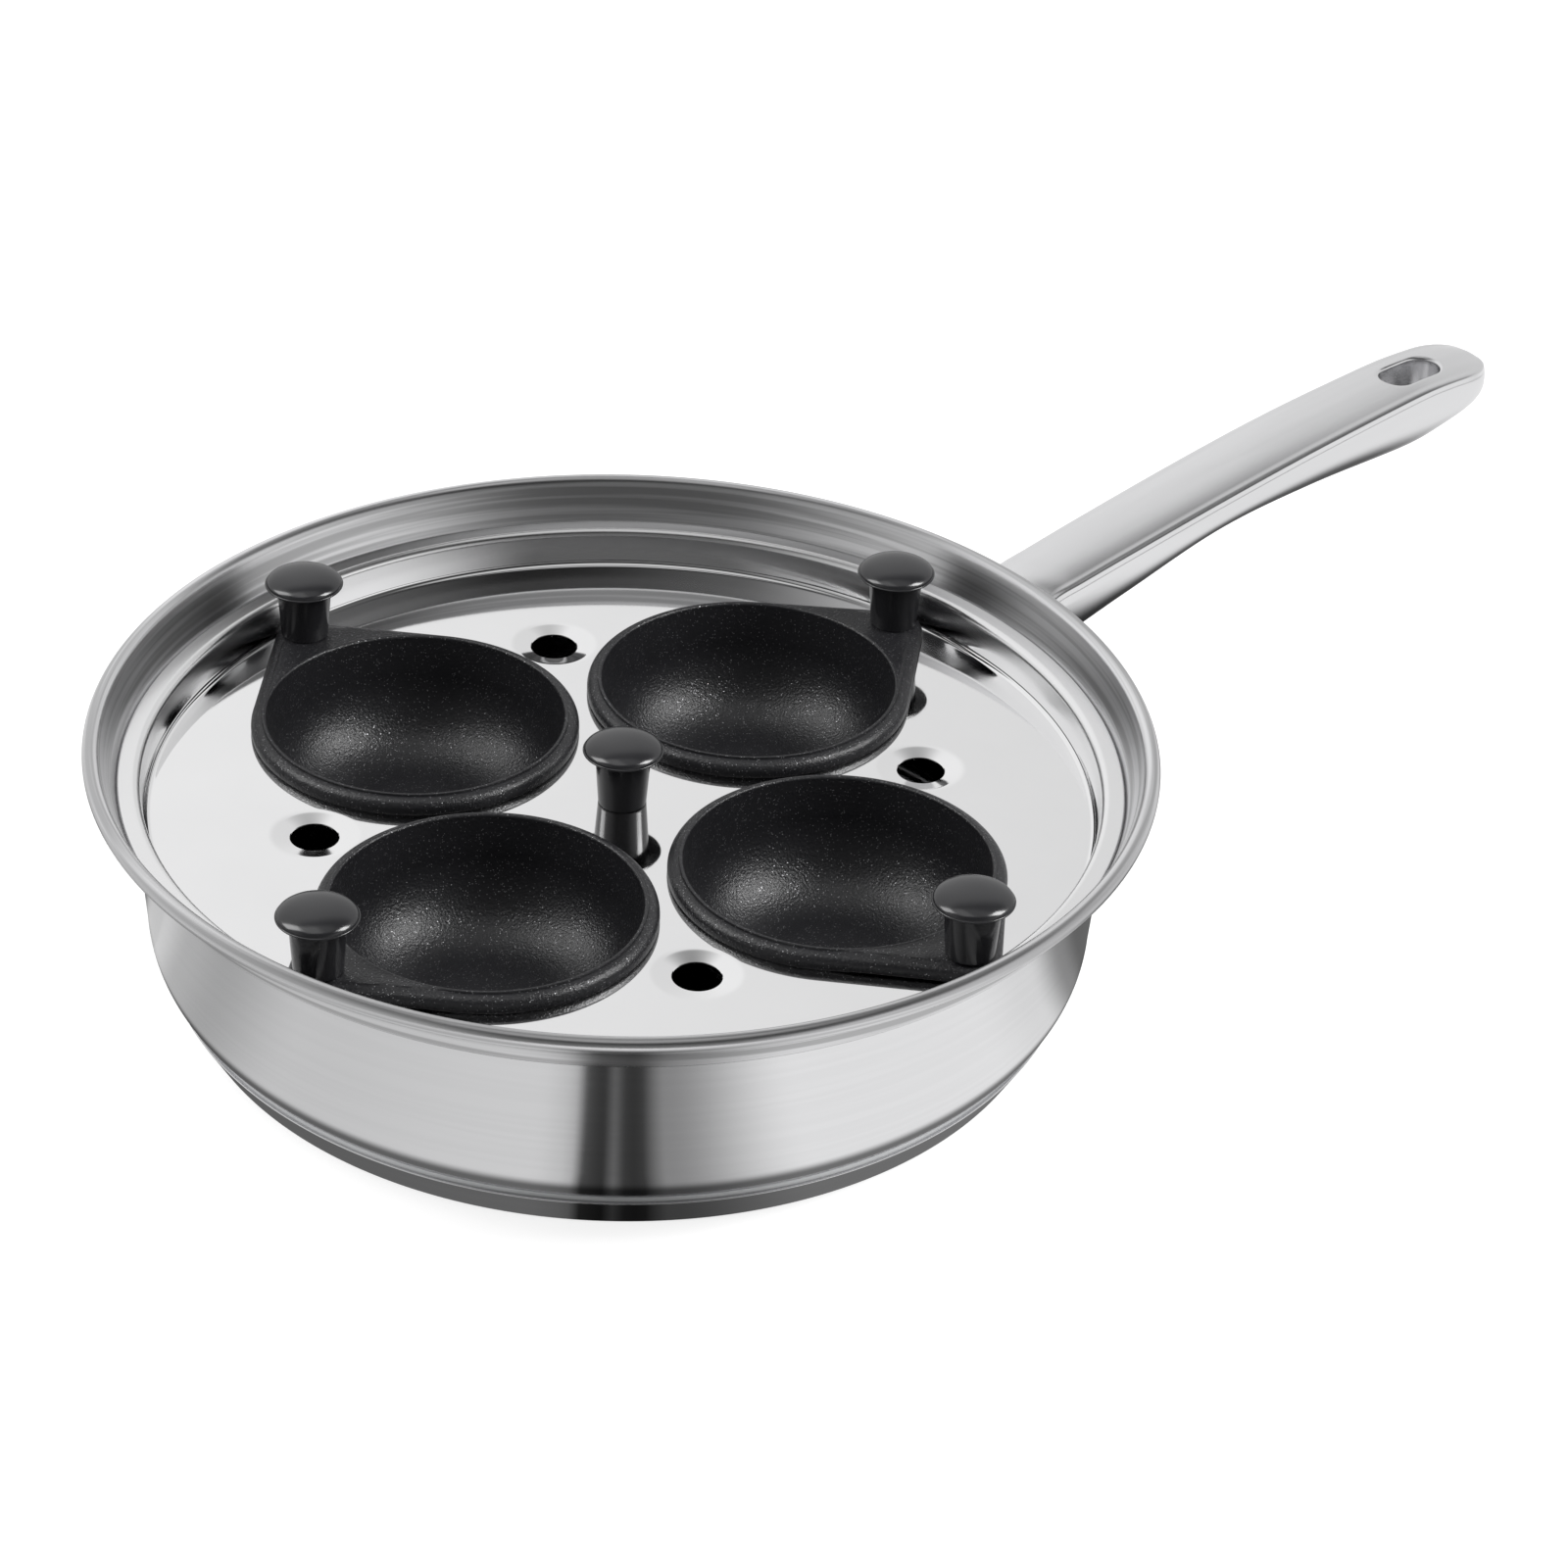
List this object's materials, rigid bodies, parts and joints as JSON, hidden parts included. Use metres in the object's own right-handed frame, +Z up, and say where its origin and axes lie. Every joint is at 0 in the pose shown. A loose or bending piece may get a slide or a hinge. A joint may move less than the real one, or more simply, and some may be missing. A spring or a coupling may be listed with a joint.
{
  "type": "egg poacher pan",
  "caption": "Shallow steel saute pan with a long hollow handle, a lift-out tray with steam holes and knob, and round coated egg cups with knobs.",
  "frame": {"origin": "on the pan's axis, at the underside of the base that stands on the hob", "axes": "+Z up, +X along the handle from the pan's axis to the hanging end, +Y to the left seen from above"},
  "size_m": [0.377, 0.228, 0.0696],
  "materials": {
    "polished_steel": "polished stainless steel, finely brushed round the rim",
    "satin_steel": "satin polished stainless steel",
    "mirror_steel": "mirror polished stainless steel",
    "core_aluminium": "plain, sealed inside the base",
    "coated_aluminium": "black speckled non-stick coating",
    "knob_phenolic": "satin black heat-resistant plastic",
    "insert_brass": "plain",
    "fastener_steel": "plain"
  },
  "bodies": {
    "pan": {"pan_body": "polished_steel", "base_core": "core_aluminium", "base_cap": "polished_steel", "handle_saddle": "satin_steel", "handle_top_shell": "satin_steel", "handle_bottom_shell": "satin_steel"},
    "tray": {"poacher_tray": "mirror_steel", "centre_knob": "knob_phenolic", "centre_knob_insert": "insert_brass", "centre_knob_screw": "fastener_steel", "centre_knob_washer": "fastener_steel"},
    "cup_1": {"egg_cup_1": "coated_aluminium", "cup_knob_1": "knob_phenolic", "cup_knob_insert_1": "insert_brass", "cup_knob_screw_1": "fastener_steel"},
    "cup_2": {"egg_cup_2": "coated_aluminium", "cup_knob_2": "knob_phenolic", "cup_knob_insert_2": "insert_brass", "cup_knob_screw_2": "fastener_steel"},
    "cup_3": {"egg_cup_3": "coated_aluminium", "cup_knob_3": "knob_phenolic", "cup_knob_insert_3": "insert_brass", "cup_knob_screw_3": "fastener_steel"},
    "cup_4": {"egg_cup_4": "coated_aluminium", "cup_knob_4": "knob_phenolic", "cup_knob_insert_4": "insert_brass", "cup_knob_screw_4": "fastener_steel"}
  },
  "joints": [
    {"name": "tray_lift", "type": "slide", "parent": "pan", "child": "tray", "axis": [0, 0, 1], "range_m": [0, 0.06]},
    {"name": "cup_1_lift", "type": "slide", "parent": "tray", "child": "cup_1", "axis": [0, 0, 1], "range_m": [0, 0.045]},
    {"name": "cup_2_lift", "type": "slide", "parent": "tray", "child": "cup_2", "axis": [0, 0, 1], "range_m": [0, 0.045]},
    {"name": "cup_3_lift", "type": "slide", "parent": "tray", "child": "cup_3", "axis": [0, 0, 1], "range_m": [0, 0.045]},
    {"name": "cup_4_lift", "type": "slide", "parent": "tray", "child": "cup_4", "axis": [0, 0, 1], "range_m": [0, 0.045]}
  ]
}
